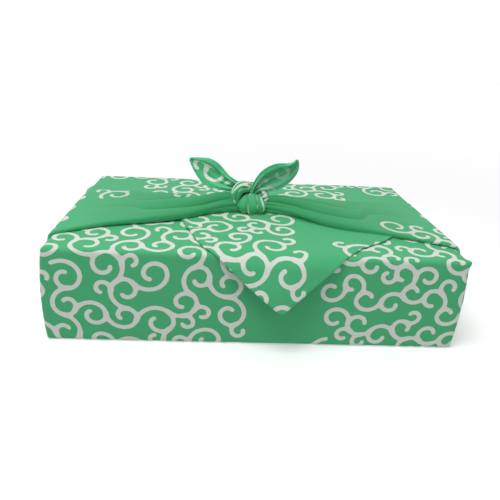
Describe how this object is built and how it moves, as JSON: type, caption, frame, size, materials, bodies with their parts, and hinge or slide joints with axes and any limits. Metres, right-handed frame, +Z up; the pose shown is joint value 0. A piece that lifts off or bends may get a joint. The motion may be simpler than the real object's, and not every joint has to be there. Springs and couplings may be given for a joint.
{
  "type": "furoshiki wrap",
  "caption": "Square printed cotton cloth wrapped round a flat box, its back corner hanging down the front as a flap, its side corners gathered and knotted on top.",
  "frame": {"origin": "on the surface the wrap stands on, under the middle of its whole depth with the hanging flap, 7 mm in front of the middle of the wrapped box", "axes": "+X along the long side to the right, -Y to the front with the hanging flap, +Z up towards the knot"},
  "size_m": [0.3033, 0.2053, 0.1187],
  "materials": {
    "printed_cotton": "matt plain-weave cotton, green with an off-white printed arabesque"
  },
  "bodies": {
    "root": {"furoshiki": "printed_cotton"}
  },
  "joints": []
}
